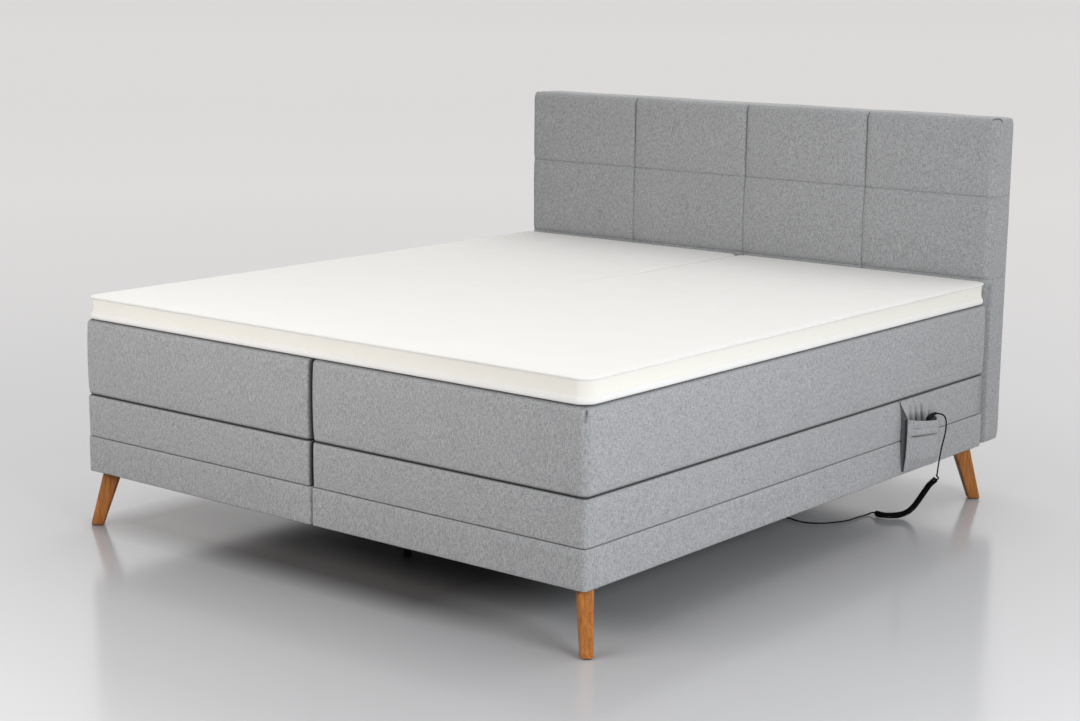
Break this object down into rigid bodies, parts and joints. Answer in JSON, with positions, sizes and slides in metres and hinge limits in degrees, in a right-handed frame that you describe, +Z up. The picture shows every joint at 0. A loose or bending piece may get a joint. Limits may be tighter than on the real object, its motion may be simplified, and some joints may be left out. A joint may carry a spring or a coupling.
{
  "type": "adjustable bed",
  "caption": "Twin adjustable bed: two upholstered sprung bases whose back and leg sections lift on hinges, two mattresses, one topper, headboard, splayed wooden legs and corded hand control.",
  "frame": {"origin": "on the floor, under the middle of the bed's overall box without its cord", "axes": "+X to the side with the control pocket, +Y to the headboard, +Z up"},
  "size_m": [1.8538, 2.1161, 1.168],
  "materials": {
    "chassis_left": "plain board",
    "chassis_right": "plain board",
    "joining_plate_foot": "zinc plated",
    "joining_plate_head": "zinc plated",
    "leg_foot_left": "oiled oak",
    "leg_foot_right": "oiled oak",
    "leg_head_left": "oiled oak",
    "leg_head_right": "oiled oak",
    "centre_leg_foot": "black paint",
    "centre_leg_head": "black paint",
    "headboard_board": "plain board",
    "headboard_pad": "woven",
    "drive_casing_left": "moulded",
    "drive_casing_right": "moulded",
    "drive_lid_left": "moulded",
    "drive_lid_right": "moulded",
    "seat_section_left": "woven",
    "seat_section_right": "woven",
    "mattress_seat_left": "woven",
    "mattress_seat_right": "woven",
    "mattress_back_fold_left": "woven",
    "mattress_back_fold_right": "woven",
    "mattress_thigh_fold_left": "woven",
    "mattress_thigh_fold_right": "woven",
    "topper_seat": "knitted",
    "curly_cord": "cable sheath",
    "floor_lead": "cable sheath",
    "plug": "moulded",
    "back_section_left": "woven",
    "mattress_back_left": "woven",
    "topper_back_left": "knitted",
    "back_section_right": "woven",
    "mattress_back_right": "woven",
    "topper_back_right": "knitted",
    "control_pocket": "woven",
    "control_back_shell": "moulded",
    "control_front_shell": "moulded",
    "strain_relief": "cable sheath",
    "handset_lead": "cable sheath",
    "thigh_section_left": "woven",
    "mattress_thigh_left": "woven",
    "topper_thigh": "knitted",
    "thigh_section_right": "woven",
    "mattress_thigh_right": "woven",
    "calf_section_left": "woven",
    "mattress_calf_left": "woven",
    "topper_calf": "knitted",
    "calf_section_right": "woven",
    "mattress_calf_right": "woven",
    "back_torque_tube_left": "zinc plated",
    "back_thrust_nut_left": "moulded",
    "leg_torque_tube_left": "zinc plated",
    "leg_thrust_nut_left": "moulded",
    "back_torque_tube_right": "zinc plated",
    "back_thrust_nut_right": "moulded",
    "leg_torque_tube_right": "zinc plated",
    "leg_thrust_nut_right": "moulded",
    "back_rocker": "moulded",
    "leg_rocker": "moulded"
  },
  "bodies": {
    "bed": {"chassis_left": "chassis_left", "chassis_right": "chassis_right", "joining_plate_foot": "joining_plate_foot", "joining_plate_head": "joining_plate_head", "leg_foot_left": "leg_foot_left", "leg_foot_right": "leg_foot_right", "leg_head_left": "leg_head_left", "leg_head_right": "leg_head_right", "centre_leg_foot": "centre_leg_foot", "centre_leg_head": "centre_leg_head", "headboard_board": "headboard_board", "headboard_pad": "headboard_pad", "drive_casing_left": "drive_casing_left", "drive_casing_right": "drive_casing_right", "drive_lid_left": "drive_lid_left", "drive_lid_right": "drive_lid_right", "seat_section_left": "seat_section_left", "seat_section_right": "seat_section_right", "mattress_seat_left": "mattress_seat_left", "mattress_seat_right": "mattress_seat_right", "mattress_back_fold_left": "mattress_back_fold_left", "mattress_back_fold_right": "mattress_back_fold_right", "mattress_thigh_fold_left": "mattress_thigh_fold_left", "mattress_thigh_fold_right": "mattress_thigh_fold_right", "topper_seat": "topper_seat", "curly_cord": "curly_cord", "floor_lead": "floor_lead", "plug": "plug"},
    "back_left": {"back_section_left": "back_section_left", "mattress_back_left": "mattress_back_left", "topper_back_left": "topper_back_left"},
    "back_right": {"back_section_right": "back_section_right", "mattress_back_right": "mattress_back_right", "topper_back_right": "topper_back_right", "control_pocket": "control_pocket", "control_back_shell": "control_back_shell", "control_front_shell": "control_front_shell", "strain_relief": "strain_relief", "handset_lead": "handset_lead"},
    "thigh_left": {"thigh_section_left": "thigh_section_left", "mattress_thigh_left": "mattress_thigh_left", "topper_thigh": "topper_thigh"},
    "thigh_right": {"thigh_section_right": "thigh_section_right", "mattress_thigh_right": "mattress_thigh_right"},
    "calf_left": {"calf_section_left": "calf_section_left", "mattress_calf_left": "mattress_calf_left", "topper_calf": "topper_calf"},
    "calf_right": {"calf_section_right": "calf_section_right", "mattress_calf_right": "mattress_calf_right"},
    "back_torque_tube_left": {"back_torque_tube_left": "back_torque_tube_left"},
    "back_thrust_nut_left": {"back_thrust_nut_left": "back_thrust_nut_left"},
    "leg_torque_tube_left": {"leg_torque_tube_left": "leg_torque_tube_left"},
    "leg_thrust_nut_left": {"leg_thrust_nut_left": "leg_thrust_nut_left"},
    "back_torque_tube_right": {"back_torque_tube_right": "back_torque_tube_right"},
    "back_thrust_nut_right": {"back_thrust_nut_right": "back_thrust_nut_right"},
    "leg_torque_tube_right": {"leg_torque_tube_right": "leg_torque_tube_right"},
    "leg_thrust_nut_right": {"leg_thrust_nut_right": "leg_thrust_nut_right"},
    "back_rocker": {"back_rocker": "back_rocker"},
    "leg_rocker": {"leg_rocker": "leg_rocker"}
  },
  "joints": [
    {"name": "back_left_hinge", "type": "hinge", "parent": "bed", "child": "back_left", "pos_m": [-0.45, 0.183, 0.275], "axis": [1, 0, 0], "range_deg": [0, 50], "deforming": ["mattress_back_fold_left", "topper_seat"]},
    {"name": "back_right_hinge", "type": "hinge", "parent": "bed", "child": "back_right", "pos_m": [0.45, 0.183, 0.275], "axis": [1, 0, 0], "range_deg": [0, 50], "deforming": ["mattress_back_fold_right", "topper_seat", "handset_lead"]},
    {"name": "thigh_left_hinge", "type": "hinge", "parent": "bed", "child": "thigh_left", "pos_m": [-0.45, -0.077, 0.275], "axis": [-1, 0, 0], "range_deg": [0, 30], "deforming": ["mattress_thigh_fold_left", "topper_seat"]},
    {"name": "thigh_right_hinge", "type": "hinge", "parent": "bed", "child": "thigh_right", "pos_m": [0.45, -0.077, 0.275], "axis": [-1, 0, 0], "range_deg": [0, 30], "deforming": ["mattress_thigh_fold_right", "topper_seat"]},
    {"name": "calf_left_hinge", "type": "hinge", "parent": "thigh_left", "child": "calf_left", "pos_m": [-0.45, -0.417, 0.275], "axis": [1, 0, 0], "range_deg": [0, 45]},
    {"name": "calf_right_hinge", "type": "hinge", "parent": "thigh_right", "child": "calf_right", "pos_m": [0.45, -0.417, 0.275], "axis": [1, 0, 0], "range_deg": [0, 45]},
    {"name": "back_torque_tube_left_turn", "type": "hinge", "parent": "bed", "child": "back_torque_tube_left", "pos_m": [-0.45075, 0.343, 0.232], "axis": [1, 0, 0], "range_deg": [0, 85.61]},
    {"name": "back_thrust_nut_left_travel", "type": "slide", "parent": "bed", "child": "back_thrust_nut_left", "axis": [0, 1, 0], "range_m": [0, 0.06799]},
    {"name": "leg_torque_tube_left_turn", "type": "hinge", "parent": "bed", "child": "leg_torque_tube_left", "pos_m": [-0.45075, -0.237, 0.232], "axis": [-1, 0, 0], "range_deg": [0, 64.21]},
    {"name": "leg_thrust_nut_left_travel", "type": "slide", "parent": "bed", "child": "leg_thrust_nut_left", "axis": [0, -1, 0], "range_m": [0, 0.05319]},
    {"name": "back_torque_tube_right_turn", "type": "hinge", "parent": "bed", "child": "back_torque_tube_right", "pos_m": [0.45075, 0.343, 0.232], "axis": [1, 0, 0], "range_deg": [0, 85.61]},
    {"name": "back_thrust_nut_right_travel", "type": "slide", "parent": "bed", "child": "back_thrust_nut_right", "axis": [0, 1, 0], "range_m": [0, 0.06799]},
    {"name": "leg_torque_tube_right_turn", "type": "hinge", "parent": "bed", "child": "leg_torque_tube_right", "pos_m": [0.45075, -0.237, 0.232], "axis": [-1, 0, 0], "range_deg": [0, 64.21]},
    {"name": "leg_thrust_nut_right_travel", "type": "slide", "parent": "bed", "child": "leg_thrust_nut_right", "axis": [0, -1, 0], "range_m": [0, 0.05319]},
    {"name": "back_rocker_press", "type": "hinge", "parent": "back_right", "child": "back_rocker", "pos_m": [0.9215, 0.58519, 0.28344], "axis": [0, 0.9848, 0.1736], "range_deg": [-5, 5], "stiffness_Nm_per_rad": 0.06},
    {"name": "leg_rocker_press", "type": "hinge", "parent": "back_right", "child": "leg_rocker", "pos_m": [0.9215, 0.59214, 0.24405], "axis": [0, 0.9848, 0.1736], "range_deg": [-5, 5], "stiffness_Nm_per_rad": 0.06}
  ],
  "couplings": [
    {"joint": "thigh_right_hinge", "follows": "thigh_left_hinge", "ratio": 1},
    {"joint": "calf_left_hinge", "follows": "thigh_left_hinge", "ratio": 1.5},
    {"joint": "calf_right_hinge", "follows": "thigh_left_hinge", "ratio": 1.5},
    {"joint": "back_torque_tube_left_turn", "follows": "back_left_hinge", "ratio": 1.712},
    {"joint": "back_thrust_nut_left_travel", "follows": "back_left_hinge", "m_per_rad": 0.077858},
    {"joint": "leg_torque_tube_left_turn", "follows": "thigh_left_hinge", "ratio": 2.14},
    {"joint": "leg_thrust_nut_left_travel", "follows": "thigh_left_hinge", "m_per_rad": 0.10149},
    {"joint": "back_torque_tube_right_turn", "follows": "back_right_hinge", "ratio": 1.712},
    {"joint": "back_thrust_nut_right_travel", "follows": "back_right_hinge", "m_per_rad": 0.077858},
    {"joint": "leg_torque_tube_right_turn", "follows": "thigh_left_hinge", "ratio": 2.14},
    {"joint": "leg_thrust_nut_right_travel", "follows": "thigh_left_hinge", "m_per_rad": 0.10149}
  ]
}
